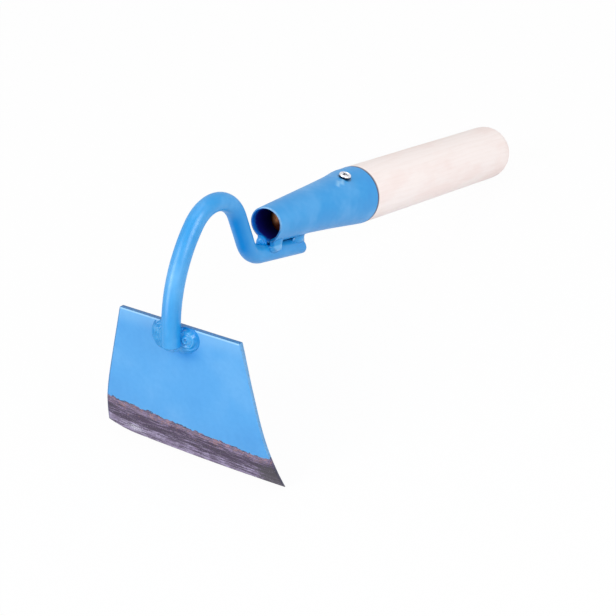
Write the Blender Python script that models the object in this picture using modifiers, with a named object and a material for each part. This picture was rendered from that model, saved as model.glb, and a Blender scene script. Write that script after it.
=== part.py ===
# A short hand hoe: a bent steel blade, a gooseneck rod welded to the blade's front, a rolled sheet
# socket welded onto the rod's tail, and a wooden handle kept in the socket by one screw.
#
# Every piece is drawn about the handle's axis: +X runs from the socket's mouth to the handle's butt,
# +Z points away from the cutting edge, and the XZ plane is the tool's mirror plane. Left and right
# are as seen by someone who faces the blade's front, so left is +Y. The last step sets the whole
# tool down on its cutting edge and the underside of its butt, with the origin under its middle.

import math

import bmesh
import bpy
from mathutils import Matrix, Vector

# Clearance left between two pieces that touch
FIT_GAP = 0.0003

# Handle: a turned wooden cylinder, slightly thinner at the socket, with a tapered nose inside it
HANDLE_DIAMETER = 0.030  # at the butt
HANDLE_FRONT_DIAMETER = 0.0293  # where it leaves the socket
HANDLE_REACH = 0.150  # bare wood behind the socket
BUTT_ROUNDING = 0.0125
NOSE_DEPTH = 0.013  # hollow between the socket's mouth and the nose
NOSE_CHAMFER = 0.001
HANDLE_STEPS = 48
BUTT_ARC_STEPS = 6
NOSE_STATIONS = 8

# Socket: a cone rolled from sheet, oval at its mouth, its open seam near the bottom
SOCKET_LENGTH = 0.075
MOUTH_WIDTH = 0.0175
MOUTH_HEIGHT = 0.0157
SHEET_THICKNESS = 0.0015
SEAM_WIDTH = 0.0016
SEAM_TURN = math.radians(20.0)  # from the bottom towards the right side
SOCKET_STATIONS = 8
SOCKET_COLUMNS = 40

# Neck: one round rod, bent in the mirror plane
ROD_DIAMETER = 0.0086
TAIL_REACH = 0.028  # how far the rod runs back under the socket
TAIL_LEAD = 0.0039  # straight run left in front of the mouth
MOUTH_WELD_GAP = 0.0020  # between rod and socket, under the mouth
TAIL_WELD_GAP = 0.0015  # between rod and socket, at the rod's tail
RISE_ANGLE = math.radians(62.0)  # climb out of the tail, above the handle's axis
RISE_BEND = 0.0139
RISE_RUN = 0.0160
CREST_BEND = 0.0185
FALL_ANGLE = math.radians(53.2)  # where the crest meets the wider sweep, below the axis
SWEEP_BEND = 0.0650
LEAN_ANGLE = math.radians(7.7)  # the blade's lean, its edge nearer to the handle
BLADE_RUN = 0.0050  # straight run at the blade's end
DEGREES_PER_STEP = 5.0
ROD_SIDES = 16

# Blade: a flat-topped trapezoid whose lower part curves back under the handle
BLADE_TOP_WIDTH = 0.067
BLADE_EDGE_WIDTH = 0.101
BLADE_HEIGHT = 0.0697  # along the plate, at its sides
EDGE_BOW = 0.0012  # how far the middle of the cutting edge stands past its corners
CORNER_WEAR = 0.0030  # how far the edge is worn away at its left corner
CORNER_WEAR_START = 0.70  # where that begins, from the middle at 0 to the corner at 1
FLAT_HEIGHT = 0.034
BLADE_BEND = 0.102  # radius of the curved part, on its inner side
BLADE_THICKNESS = 0.002
GROUND_STRIP = 0.0183  # ground zone above the cutting edge
GROUND_THICKNESS = 0.0012  # left at the foot of the ground zone
EDGE_BEVEL = 0.0013
EDGE_THICKNESS = 0.0005
ROD_LAP = 0.0084  # how far the rod reaches down over the blade
BLADE_COLUMNS = 21
CURVE_ROWS = 6
STRIP_ROWS = 4

# Fixing screw: pan head with a cross recess, driven square to the socket's surface
SCREW_FROM_REAR = 0.0155
SCREW_TURN = math.radians(15.5)  # from the top towards the right side
SCREW_HEAD_DIAMETER = 0.0060
SCREW_HEAD_HEIGHT = 0.0020
SCREW_RIM_HEIGHT = 0.0007
SCREW_SHANK_DIAMETER = 0.0035
SCREW_CORE_DIAMETER = 0.0026
SCREW_LENGTH = 0.016
SCREW_TIP = 0.003
THREAD_PITCH = 0.0016
THREAD_FLANK = 0.3  # share of the pitch that each flank takes
RECESS_WIDTH = 0.0033
RECESS_SLOT = 0.0008
RECESS_DEPTH = 0.0012
RECESS_FOOT = 0.35  # share of its width that the recess keeps at its foot
SCREW_STEPS = 24

# Weld beads on the blade: half sizes along the plate, across it and out of it; the place is how far
# the bead's middle lies from the mirror plane and below the blade's top edge
BLADE_BEAD_LEFT = (0.0068, 0.0064, 0.0030)
BLADE_BEAD_LEFT_PLACE = (0.0078, 0.0072)
BLADE_BEAD_RIGHT = (0.0066, 0.0052, 0.0040)
BLADE_BEAD_RIGHT_PLACE = (0.0076, 0.0052)

# Weld beads under the socket: half sizes along its underside, across it and down; the place is how far
# the bead's middle lies behind the mouth, from the mirror plane and below the socket's bottom line
SOCKET_BEAD_LEFT = (0.0125, 0.0022, 0.0027)
SOCKET_BEAD_LEFT_PLACE = (0.0108, 0.0024, 0.0018)
SOCKET_BEAD_RIGHT = (0.0035, 0.0028, 0.0029)
SOCKET_BEAD_RIGHT_PLACE = (0.0026, 0.0044, 0.0018)
SOCKET_BEAD_REAR = (0.0038, 0.0024, 0.0024)
SOCKET_BEAD_REAR_PLACE = (0.0245, 0.0029, 0.0014)
BEAD_COLUMNS = 20
BEAD_ROWS = 12

# Colours as they look, before conversion to linear light
PAINT_BLUE = (0.33, 0.66, 0.92)
BARE_WOOD = (0.94, 0.88, 0.82)
ZINC = (0.80, 0.80, 0.82)

HANDLE_RADIUS = HANDLE_DIAMETER / 2
SOCKET_REAR_RADIUS = HANDLE_FRONT_DIAMETER / 2
ROD_RADIUS = ROD_DIAMETER / 2
SHANK_RADIUS = SCREW_SHANK_DIAMETER / 2


def clear_scene():
    for obj in list(bpy.data.objects):
        bpy.data.objects.remove(obj, do_unlink=True)


def new_collection(name):
    collection = bpy.data.collections.new(name)
    bpy.context.scene.collection.children.link(collection)
    return collection


def linear(colour):
    """Colour as seen -> linear light, with alpha."""
    steps = [c / 12.92 if c <= 0.04045 else ((c + 0.055) / 1.055) ** 2.4 for c in colour]
    return (*steps, 1.0)


def finish(name, colour, roughness, metallic=0.0):
    material = bpy.data.materials.new(name)
    material.use_nodes = True
    shader = material.node_tree.nodes["Principled BSDF"]
    shader.inputs["Base Color"].default_value = linear(colour)
    shader.inputs["Roughness"].default_value = roughness
    shader.inputs["Metallic"].default_value = metallic
    material.diffuse_color = linear(colour)
    return material


def add_object(name, data, material=None, place=None):
    """Object under the tool's own frame, in the part's collection, or a cutter when it has no material."""
    obj = bpy.data.objects.new(name, data)
    obj.parent = tool
    if place is not None:
        obj.matrix_local = place
    if material is None:
        cutters.objects.link(obj)
        obj.hide_render = True
        obj.display_type = "WIRE"
    else:
        parts.objects.link(obj)
        data.materials.append(material)
    return obj


def mesh_from_bmesh(name, bm):
    mesh = bpy.data.meshes.new(name)
    bm.to_mesh(mesh)
    bm.free()
    return mesh


def smooth(obj, angle=30.0):
    obj.data.shade_smooth()
    obj.data.set_sharp_from_angle(angle=math.radians(angle))


def cut(obj, *cutter_objects):
    for cutter in cutter_objects:
        modifier = obj.modifiers.new(f"cut_{cutter.name}", "BOOLEAN")
        modifier.operation = "DIFFERENCE"
        modifier.solver = "EXACT"
        modifier.object = cutter


def turned(name, profile, steps, material=None, place=None):
    """Solid of revolution about its local Z; the profile runs from the top down its outer side."""
    mesh = bpy.data.meshes.new(name)
    edges = [(i, i + 1) for i in range(len(profile) - 1)]
    mesh.from_pydata([(radius, 0.0, height) for radius, height in profile], edges, [])
    obj = add_object(name, mesh, material, place)
    screw = obj.modifiers.new("turn", "SCREW")
    screw.axis = "Z"
    screw.steps = steps
    screw.render_steps = steps
    screw.use_merge_vertices = True
    screw.merge_threshold = 0.00001
    screw.use_smooth_shade = True
    return obj


# Socket


def socket_radii(x):
    """Outer half width and half height of the socket, x behind its mouth."""
    share = min(max(x / SOCKET_LENGTH, 0.0), 1.0)
    half_width = MOUTH_WIDTH / 2 + (SOCKET_REAR_RADIUS - MOUTH_WIDTH / 2) * share
    half_height = MOUTH_HEIGHT / 2 + (SOCKET_REAR_RADIUS - MOUTH_HEIGHT / 2) * share
    return half_width, half_height


def socket_slope():
    """Angle of the socket's top to its axis."""
    return math.atan2(SOCKET_REAR_RADIUS - MOUTH_HEIGHT / 2, SOCKET_LENGTH)


def socket_solid(name, material=None, clearance=0.0):
    """Rolled cone with an open seam; a clearance swells it on every side for a cutter."""
    bm = bmesh.new()
    rings = []
    for i in range(SOCKET_STATIONS + 1):
        x = -clearance + (SOCKET_LENGTH + 2 * clearance) * i / SOCKET_STATIONS
        half_width, half_height = (r + clearance for r in socket_radii(x))
        seam = math.asin((SEAM_WIDTH / 2 - clearance) / half_height)
        ring = []
        for j in range(SOCKET_COLUMNS + 1):
            angle = seam - SEAM_TURN + (2 * math.pi - 2 * seam) * j / SOCKET_COLUMNS
            ring.append(bm.verts.new((x, half_width * math.sin(angle), -half_height * math.cos(angle))))
        rings.append(ring)
    for front, back in zip(rings, rings[1:]):
        for j in range(SOCKET_COLUMNS):
            bm.faces.new((front[j + 1], back[j + 1], back[j], front[j]))
    obj = add_object(name, mesh_from_bmesh(name, bm), material)
    shell = obj.modifiers.new("sheet", "SOLIDIFY")
    shell.thickness = SHEET_THICKNESS + 2 * clearance
    shell.offset = -1.0
    shell.use_even_offset = True
    return obj


# Neck


def add_run(path, heading, length):
    """Straight stretch of the rod's centre line."""
    path.append(path[-1] + Vector((math.cos(heading), 0.0, math.sin(heading))) * length)


def add_bend(path, heading, new_heading, radius):
    """Arc that turns the centre line from one heading to the next, both measured from +X towards +Z."""
    turn = new_heading - heading
    side = math.copysign(1.0, turn)
    centre = path[-1] + side * radius * Vector((-math.sin(heading), 0.0, math.cos(heading)))
    steps = max(2, math.ceil(math.degrees(abs(turn)) / DEGREES_PER_STEP))
    for i in range(1, steps + 1):
        angle = heading + turn * i / steps
        path.append(centre - side * radius * Vector((-math.sin(angle), 0.0, math.cos(angle))))


def rod_height(x, gap):
    """Height of the rod's axis under the socket's bottom line."""
    return -socket_radii(x)[1] - gap - ROD_RADIUS


def neck_path():
    """Centre line of the rod, from its tail under the socket to its end on the blade."""
    tail = Vector((TAIL_REACH, 0.0, rod_height(TAIL_REACH, TAIL_WELD_GAP)))
    under_mouth = Vector((0.0, 0.0, rod_height(0.0, MOUTH_WELD_GAP)))
    along = (under_mouth - tail).normalized()
    tail_heading = math.atan2(along.z, along.x)
    rise_heading = math.pi - RISE_ANGLE
    fall_heading = math.pi + FALL_ANGLE
    end_heading = 1.5 * math.pi + LEAN_ANGLE
    path = [tail, under_mouth + along * TAIL_LEAD]
    add_bend(path, tail_heading, rise_heading, RISE_BEND)
    add_run(path, rise_heading, RISE_RUN)
    add_bend(path, rise_heading, fall_heading, CREST_BEND)
    add_bend(path, fall_heading, end_heading, SWEEP_BEND)
    add_run(path, end_heading, BLADE_RUN)
    return path


def tube_curve(name, path, radius):
    curve = bpy.data.curves.new(name, "CURVE")
    curve.dimensions = "3D"
    spline = curve.splines.new("POLY")
    spline.points.add(len(path) - 1)
    for point, place in zip(spline.points, path):
        point.co = (*place, 1.0)
    curve.bevel_depth = radius
    curve.bevel_resolution = (ROD_SIDES - 4) // 2
    curve.use_fill_caps = True
    return curve


def neck_cutter():
    """The rod grown by the fit gap all round, as a closed mesh that the weld beads are cut with."""
    path = neck_path()
    first = (path[0] - path[1]).normalized() * FIT_GAP
    last = (path[-1] - path[-2]).normalized() * FIT_GAP
    path = [path[0] + first] + path[1:-1] + [path[-1] + last]
    curve_object = add_object("neck_gap_curve", tube_curve("neck_gap_curve", path, ROD_RADIUS + FIT_GAP))
    bpy.context.view_layer.update()
    evaluated = curve_object.evaluated_get(bpy.context.evaluated_depsgraph_get())
    mesh = bpy.data.meshes.new_from_object(evaluated)
    bpy.data.objects.remove(curve_object, do_unlink=True)
    bm = bmesh.new()
    bm.from_mesh(mesh)
    bmesh.ops.remove_doubles(bm, verts=bm.verts, dist=0.00001)
    bm.to_mesh(mesh)
    bm.free()
    return add_object("neck_gap", mesh)


# Blade


def lean_at_top_edge(path, down, back):
    """How much nearer to the plate the rod's centre line is at the blade's top edge than at its end."""
    end = path[-1]
    for near, far in zip(path[-1::-1], path[-2::-1]):
        near_drop = (end - near).dot(down)
        far_drop = (end - far).dot(down)
        if far_drop >= ROD_LAP:
            share = (ROD_LAP - near_drop) / (far_drop - near_drop)
            return max((near.lerp(far, share) - end).dot(back), 0.0)
    return 0.0


def blade_frame():
    """Place of the blade: origin on its back face at the middle of the top edge, +Z up along the
    plate, +X out of its back face towards the handle."""
    path = neck_path()
    down = Vector((math.sin(LEAN_ANGLE), 0.0, -math.cos(LEAN_ANGLE)))
    back = Vector((math.cos(LEAN_ANGLE), 0.0, math.sin(LEAN_ANGLE)))
    stand_off = ROD_RADIUS + FIT_GAP + lean_at_top_edge(path, down, back)
    origin = path[-1] - down * ROD_LAP + back * (stand_off + BLADE_THICKNESS)
    return Matrix.Translation(origin) @ Matrix.Rotation(-LEAN_ANGLE, 4, "Y")


def back_point(drop, y, depth=0.0):
    """Point of the blade, drop along the plate below its top edge, depth in front of its back face."""
    bend = max(drop - FLAT_HEIGHT, 0.0) / BLADE_BEND
    radius = BLADE_BEND + depth
    x = BLADE_BEND - radius * math.cos(bend)
    z = -min(drop, FLAT_HEIGHT) - radius * math.sin(bend)
    return Vector((x, y, z))


def plate_thickness(from_edge):
    """Thickness at a distance from the cutting edge: full, then the ground zone, then the edge bevel."""
    if from_edge >= GROUND_STRIP:
        return BLADE_THICKNESS
    if from_edge >= EDGE_BEVEL:
        share = (from_edge - EDGE_BEVEL) / (GROUND_STRIP - EDGE_BEVEL)
        return GROUND_THICKNESS + (BLADE_THICKNESS - GROUND_THICKNESS) * share
    return EDGE_THICKNESS + (GROUND_THICKNESS - EDGE_THICKNESS) * from_edge / EDGE_BEVEL


def blade_height(across):
    """Height of the plate at a place from -1 at its right side to 1 at its left, with the corner's wear."""
    wear = max(across - CORNER_WEAR_START, 0.0) / (1 - CORNER_WEAR_START)
    return BLADE_HEIGHT + EDGE_BOW * (1 - across**2) - CORNER_WEAR * wear**2


def blade_rows(height):
    """Places of the cross rows, below the top edge, for a strip of plate of the given height."""
    strip_top = height - GROUND_STRIP
    rows = [0.0, FLAT_HEIGHT]
    rows += [FLAT_HEIGHT + (strip_top - FLAT_HEIGHT) * i / CURVE_ROWS for i in range(1, CURVE_ROWS + 1)]
    rows += [strip_top + (GROUND_STRIP - EDGE_BEVEL) * i / STRIP_ROWS for i in range(1, STRIP_ROWS + 1)]
    return rows + [height]


def blade_solid(material):
    bm = bmesh.new()
    weights = []
    columns = []
    for j in range(BLADE_COLUMNS + 1):
        across = 2 * j / BLADE_COLUMNS - 1
        height = blade_height(across)
        column = []
        for drop in blade_rows(height):
            share = drop / height
            half_width = (BLADE_TOP_WIDTH + (BLADE_EDGE_WIDTH - BLADE_TOP_WIDTH) * share) / 2
            column.append(bm.verts.new(back_point(drop, across * half_width)))
            weights.append(plate_thickness(height - drop) / BLADE_THICKNESS)
        columns.append(column)
    for left, right in zip(columns, columns[1:]):
        for i in range(len(left) - 1):
            bm.faces.new((left[i + 1], right[i + 1], right[i], left[i]))
    obj = add_object("blade", mesh_from_bmesh("blade", bm), material, blade_frame())
    group = obj.vertex_groups.new(name="thickness")
    for index, weight in enumerate(weights):
        group.add([index], weight, "REPLACE")
    plate = obj.modifiers.new("plate", "SOLIDIFY")
    plate.thickness = BLADE_THICKNESS
    plate.offset = -1.0
    plate.vertex_group = group.name
    plate.thickness_vertex_group = 0.0
    return obj


# Handle and screw


def tenon_radius(x):
    """Radius of the tapered nose, inside the socket's wall."""
    wall = SHEET_THICKNESS / math.cos(socket_slope())
    return min(socket_radii(x)) - wall - FIT_GAP


def handle_profile():
    """Radius and place along the handle's axis, from the middle of the butt to the nose."""
    butt = SOCKET_LENGTH + HANDLE_REACH
    corner = HANDLE_RADIUS - BUTT_ROUNDING
    profile = [(0.0, butt)]
    for i in range(BUTT_ARC_STEPS + 1):
        angle = 0.5 * math.pi * i / BUTT_ARC_STEPS
        x = butt - BUTT_ROUNDING * (1 - math.cos(angle))
        profile.append((corner + BUTT_ROUNDING * math.sin(angle), x))
    rim_lip = SHEET_THICKNESS * math.sin(socket_slope())
    shoulder = SOCKET_LENGTH + rim_lip + FIT_GAP
    nose_end = NOSE_DEPTH + NOSE_CHAMFER
    profile.append((SOCKET_REAR_RADIUS, shoulder))
    for i in range(NOSE_STATIONS + 1):
        x = shoulder - (shoulder - nose_end) * i / NOSE_STATIONS
        profile.append((tenon_radius(x), x))
    profile.append((tenon_radius(NOSE_DEPTH) - NOSE_CHAMFER, NOSE_DEPTH))
    profile.append((0.0, NOSE_DEPTH))
    return profile


def handle_solid(material):
    along_handle = Matrix.Rotation(0.5 * math.pi, 4, "Y")
    return turned("handle", handle_profile(), HANDLE_STEPS, material, along_handle)


def screw_frame():
    """Place of the screw: origin on the socket's surface, +Z out along the screw's axis."""
    x = SOCKET_LENGTH - SCREW_FROM_REAR
    half_width, half_height = socket_radii(x)
    seat = Vector((x, -half_width * math.sin(SCREW_TURN), half_height * math.cos(SCREW_TURN)))
    tilt = Matrix.Rotation(-socket_slope(), 4, "Y")
    return Matrix.Translation(seat) @ Matrix.Rotation(SCREW_TURN, 4, "X") @ tilt


def screw_profile():
    """Radius and height, from the top of the head to the tip; the head's underside is at the fit gap."""
    head = SCREW_HEAD_DIAMETER / 2
    seat = FIT_GAP
    dome = SCREW_HEAD_HEIGHT - SCREW_RIM_HEIGHT
    profile = [(0.0, seat + SCREW_HEAD_HEIGHT)]
    for degrees in (30, 50, 70, 90):
        angle = math.radians(degrees)
        profile.append((head * math.sin(angle), seat + SCREW_RIM_HEIGHT + dome * math.cos(angle) ** 0.8))
    profile.append((head, seat))
    profile.append((SHANK_RADIUS, seat))
    thread_top = -SHEET_THICKNESS
    thread_foot = seat - SCREW_LENGTH + SCREW_TIP
    turns = int((thread_top - thread_foot) / THREAD_PITCH)
    core = SCREW_CORE_DIAMETER / 2
    profile.append((SHANK_RADIUS, thread_top))
    for i in range(turns):
        top = thread_top - i * THREAD_PITCH
        profile.append((core, top - THREAD_FLANK * THREAD_PITCH))
        profile.append((core, top - (1 - THREAD_FLANK) * THREAD_PITCH))
        profile.append((SHANK_RADIUS, top - THREAD_PITCH))
    profile.append((core, thread_foot))
    profile.append((0.0, thread_foot - SCREW_TIP))
    return profile


def recess_cutter(name, turn):
    """One wing pair of the cross recess, narrower at its foot."""
    bm = bmesh.new()
    corner = math.sqrt(0.5)  # corner radius of a square of side 1
    bmesh.ops.create_cone(bm, cap_ends=True, segments=4, radius1=RECESS_FOOT * corner,
                          radius2=(2 - RECESS_FOOT) * corner, depth=2 * RECESS_DEPTH)
    bmesh.ops.rotate(bm, verts=bm.verts, matrix=Matrix.Rotation(0.25 * math.pi, 3, "Z"))
    bmesh.ops.scale(bm, verts=bm.verts, vec=(RECESS_WIDTH, RECESS_SLOT, 1.0))
    place = screw_frame() @ Matrix.Translation((0.0, 0.0, FIT_GAP + SCREW_HEAD_HEIGHT))
    return add_object(name, mesh_from_bmesh(name, bm), place=place @ Matrix.Rotation(turn, 4, "Z"))


def screw_solid(material):
    obj = turned("fixing_screw", screw_profile(), SCREW_STEPS, material, screw_frame())
    cut(obj, recess_cutter("recess_along", 0.0), recess_cutter("recess_across", 0.5 * math.pi))
    return obj


def screw_hole():
    """Clearance for the screw's shank through the sheet and down into the wood."""
    bm = bmesh.new()
    top = SCREW_HEAD_HEIGHT
    depth = top + SCREW_LENGTH
    radius = SHANK_RADIUS + FIT_GAP
    bmesh.ops.create_cone(bm, cap_ends=True, segments=SCREW_STEPS, radius1=radius, radius2=radius,
                          depth=depth, matrix=Matrix.Translation((0.0, 0.0, top - depth / 2)))
    return add_object("screw_hole", mesh_from_bmesh("screw_hole", bm), place=screw_frame())


# Weld beads


def bead(name, material, place, half_sizes, foot=None):
    """Rounded lump of weld metal; foot is the local height below which it is cut away."""
    bm = bmesh.new()
    bmesh.ops.create_uvsphere(bm, u_segments=BEAD_COLUMNS, v_segments=BEAD_ROWS, radius=1.0)
    bmesh.ops.scale(bm, verts=bm.verts, vec=half_sizes)
    if foot is not None:
        geometry = bm.verts[:] + bm.edges[:] + bm.faces[:]
        bmesh.ops.bisect_plane(bm, geom=geometry, plane_co=(0.0, 0.0, foot), plane_no=(0.0, 0.0, 1.0),
                               clear_inner=True)
        bmesh.ops.holes_fill(bm, edges=bm.edges)
        bmesh.ops.recalc_face_normals(bm, faces=bm.faces)
    return add_object(name, mesh_from_bmesh(name, bm), material, place)


def blade_bead(name, material, side, half_sizes, place, rod_gap):
    """Bead down one side of the rod, on the blade's front face; side is 1 for left, -1 for right."""
    out_of_front = Matrix.Rotation(-0.5 * math.pi, 4, "Y")  # local Z out of the face, X up the plate
    middle = Matrix.Translation((-BLADE_THICKNESS, side * place[0], -place[1]))
    obj = bead(name, material, blade_frame() @ middle @ out_of_front, half_sizes, foot=FIT_GAP)
    cut(obj, rod_gap)
    smooth(obj)


def socket_bead(name, material, side, half_sizes, place, rod_gap, socket_gap):
    """Bead in the groove between the rod and the socket's underside."""
    x, y, drop = place
    middle = Matrix.Translation((x, side * y, -socket_radii(x)[1] - drop))
    along_underside = Matrix.Rotation(socket_slope(), 4, "Y")
    obj = bead(name, material, middle @ along_underside, half_sizes)
    cut(obj, rod_gap, socket_gap)
    smooth(obj)


def rest_on_ground():
    """Sets the tool down on its cutting edge and butt, and moves its middle over the origin."""
    frame = blade_frame()
    middle_height = BLADE_HEIGHT + EDGE_BOW
    round_x = SOCKET_LENGTH + HANDLE_REACH - BUTT_ROUNDING
    round_z = -(HANDLE_RADIUS - BUTT_ROUNDING)
    pitch = -math.pi
    for depth in (0.0, EDGE_THICKNESS):
        edge = frame @ back_point(middle_height, 0.0, depth)
        run = round_x - edge.x
        rise = round_z - edge.z
        pitch = max(pitch, math.atan2(rise, run) - math.asin(BUTT_ROUNDING / math.hypot(run, rise)))
    tool.rotation_euler = (0.0, pitch, 0.0)
    bpy.context.view_layer.update()
    depsgraph = bpy.context.evaluated_depsgraph_get()
    corners = []
    for obj in parts.objects:
        if obj.type == "EMPTY":
            continue
        evaluated = obj.evaluated_get(depsgraph)
        mesh = evaluated.to_mesh()
        corners += [evaluated.matrix_world @ vertex.co for vertex in mesh.vertices]
        evaluated.to_mesh_clear()
    low = [min(c[i] for c in corners) for i in range(3)]
    high = [max(c[i] for c in corners) for i in range(3)]
    tool.location = (-(low[0] + high[0]) / 2, -(low[1] + high[1]) / 2, -low[2])


clear_scene()
parts = new_collection("hand_hoe")
cutters = new_collection("cutters")
tool = bpy.data.objects.new("tool", None)
parts.objects.link(tool)

paint = finish("blue_paint", PAINT_BLUE, 0.45)
wood = finish("bare_wood", BARE_WOOD, 0.65)
zinc = finish("zinc", ZINC, 0.25, 1.0)

rod_gap = neck_cutter()
socket_gap = socket_solid("socket_gap", clearance=FIT_GAP)
hole = screw_hole()

blade_solid(paint)
add_object("neck_rod", tube_curve("neck_rod", neck_path(), ROD_RADIUS), paint)
blade_bead("blade_weld_left", paint, 1, BLADE_BEAD_LEFT, BLADE_BEAD_LEFT_PLACE, rod_gap)
blade_bead("blade_weld_right", paint, -1, BLADE_BEAD_RIGHT, BLADE_BEAD_RIGHT_PLACE, rod_gap)

socket = socket_solid("socket", paint)
smooth(socket)
cut(socket, hole)
socket_bead("socket_weld_left", paint, 1, SOCKET_BEAD_LEFT, SOCKET_BEAD_LEFT_PLACE, rod_gap, socket_gap)
socket_bead("socket_weld_right", paint, -1, SOCKET_BEAD_RIGHT, SOCKET_BEAD_RIGHT_PLACE, rod_gap, socket_gap)
socket_bead("socket_weld_rear", paint, -1, SOCKET_BEAD_REAR, SOCKET_BEAD_REAR_PLACE, rod_gap, socket_gap)

handle = handle_solid(wood)
cut(handle, hole)
screw_solid(zinc)

rest_on_ground()
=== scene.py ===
import math
from collections import defaultdict

import bmesh
import bpy
import numpy as np
from mathutils import Matrix, Quaternion, Vector, noise


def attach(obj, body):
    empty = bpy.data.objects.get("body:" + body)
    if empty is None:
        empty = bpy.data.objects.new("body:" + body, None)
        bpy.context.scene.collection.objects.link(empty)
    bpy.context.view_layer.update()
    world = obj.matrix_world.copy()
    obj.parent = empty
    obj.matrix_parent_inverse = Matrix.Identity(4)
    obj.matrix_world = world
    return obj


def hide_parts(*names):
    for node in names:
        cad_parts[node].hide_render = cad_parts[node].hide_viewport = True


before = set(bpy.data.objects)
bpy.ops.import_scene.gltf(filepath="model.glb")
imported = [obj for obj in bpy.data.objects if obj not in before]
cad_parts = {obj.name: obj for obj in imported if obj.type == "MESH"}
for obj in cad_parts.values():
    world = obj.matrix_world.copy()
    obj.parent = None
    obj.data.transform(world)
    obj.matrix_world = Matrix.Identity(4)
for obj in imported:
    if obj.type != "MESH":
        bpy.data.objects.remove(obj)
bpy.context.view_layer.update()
print("frame loaded:", ", ".join(sorted(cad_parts)))

# A short hand hoe. Every piece is drawn about the handle's axis: x runs from the socket's mouth to the
# butt, y to the left of someone facing the blade, z away from the cutting edge. Lengths are in metres.
# The tool's pose then lays it on its cutting edge and its butt.
toolPose = {"tilt": 18.60712, "x": -0.06738168, "z": 0.08266468}
toolMatrix = (Matrix.Translation((toolPose["x"], 0.0, toolPose["z"]))
              @ Matrix.Rotation(math.radians(toolPose["tilt"]), 4, "Y"))


# Camera, white floor and soft light

cameraSet = {"place": (-0.5257, -0.3830, 0.4401), "aim": (-0.09933, -0.04317, 0.06818), "roll": -7.97,
             "lens": 88.16, "sensor": 36.0, "near": 0.05, "far": 30.0}
stageSet = {"floorSize": 8.0, "floorColour": (0.86, 0.86, 0.87, 1.0), "white": (1.0, 1.0, 1.0, 1.0),
            "whiteShare": 0.955, "skyLight": 0.48}
lamps = {  # place, aim, width, height, power
    "leftSoftbox": ((-1.40, 0.55, 0.80), (-0.05, 0.0, 0.35), 0.80, 1.40, 13.0),
    "topSoftbox": ((0.05, 0.20, 1.60), (-0.03, 0.0, 0.06), 1.20, 1.20, 4.5),
    "rightSoftbox": ((-0.25, -1.35, 1.00), (-0.03, 0.0, 0.06), 0.90, 0.90, 12.4),
}


class Wire:
    # The output of a node. Sums and products of wires add the nodes that they need.
    def __init__(self, tree, socket):
        self.tree, self.socket = tree, socket

    def maths(self, operation, *others):
        return addWire(self.tree, "Math", dict(enumerate((self, *others))), operation=operation)

    def __add__(self, other):
        return self.maths("ADD", other)

    def __sub__(self, other):
        return self.maths("SUBTRACT", other)

    def __mul__(self, other):
        return self.maths("MULTIPLY", other)

    def spread(self, low, high, newLow=0.0, newHigh=1.0):
        # Smoothly maps low..high to newLow..newHigh
        inputs = {"Value": self, "From Min": low, "From Max": high, "To Min": newLow, "To Max": newHigh}
        return addWire(self.tree, "MapRange", inputs, interpolation_type="SMOOTHSTEP")


def feed(node, inputs):
    # Links or sets a node's inputs
    for key, value in inputs.items():
        if isinstance(value, Wire):
            value.tree.links.new(value.socket, node.inputs[key])
        else:
            node.inputs[key].default_value = value


def addNode(tree, kind, inputs=None, **settings):
    # Nodes stand in columns, in the order in which they are added
    column, row = divmod(len(tree.nodes), 7)
    node = tree.nodes.new("ShaderNode" + kind)
    node.location = (200 * column - 2400, -190 * row)
    for key, value in settings.items():
        setattr(node, key, value)
    feed(node, inputs or {})
    return {output.name: Wire(tree, output) for output in node.outputs if output.enabled}


def addWire(tree, kind, inputs=None, **settings):
    # Only its first output
    return next(iter(addNode(tree, kind, inputs, **settings).values()))


def addVector(vector, operation, inputs):
    return addWire(vector.tree, "VectorMath", {0: vector, **inputs}, operation=operation)


def stretched(vector, factors):
    return addVector(vector, "MULTIPLY", {1: factors})


def noiseOn(vector, scale, detail=2.0, roughness=0.5, distortion=0.0):
    inputs = {"Vector": vector, "Scale": scale, "Detail": detail, "Roughness": roughness,
              "Distortion": distortion}
    return addWire(vector.tree, "TexNoise", inputs)


def cellsOn(vector, scale):
    # How far off the nearest of some scattered points is
    return addWire(vector.tree, "TexVoronoi", {"Vector": vector, "Scale": scale})


def blend(colour, *layers):
    # Lays colours over a first one, each in its own share
    for share, over in layers:
        colour = addWire(share.tree, "Mix", {0: share, 6: colour, 7: over}, data_type="RGBA")
    return colour


def mixed(share, first, second):
    # Numbers
    return addWire(share.tree, "Mix", {0: share, 2: first, 3: second})


def readMark(tree, mark, output="Fac"):
    return addNode(tree, "Attribute", attribute_name=mark)[output]


def shade(red, green, blue):
    # A colour as it looks on screen, 0 to 255, as linear light with alpha
    steps = [c / 255 for c in (red, green, blue)]
    return tuple(c / 12.92 if c <= 0.04045 else ((c + 0.055) / 1.055) ** 2.4 for c in steps) + (1.0,)


def addObject(name, data):
    obj = bpy.data.objects.new(name, data)
    bpy.context.scene.collection.objects.link(obj)
    return obj


def standAt(obj, place, aim, roll=0.0):
    # A camera or lamp at place that looks at aim
    turn = (Vector(aim) - Vector(place)).to_track_quat("-Z", "Y") @ Quaternion((0, 0, 1), math.radians(roll))
    obj.location = place
    obj.rotation_mode = "QUATERNION"
    obj.rotation_quaternion = turn


def setCamera():
    data = bpy.data.cameras.new("photoCamera")
    data.lens, data.sensor_width = cameraSet["lens"], cameraSet["sensor"]
    data.clip_start, data.clip_end = cameraSet["near"], cameraSet["far"]
    camera = addObject("photoCamera", data)
    standAt(camera, cameraSet["place"], cameraSet["aim"], cameraSet["roll"])
    bpy.context.scene.camera = camera


def seenShare(tree):
    # 1 for rays from the camera, reflections and refractions, 0 for the light that falls on the tool
    path = addNode(tree, "LightPath")
    return path["Is Camera Ray"].maths("MAXIMUM", path["Is Glossy Ray"]).maths("MAXIMUM", path["Is Transmission Ray"])


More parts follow.
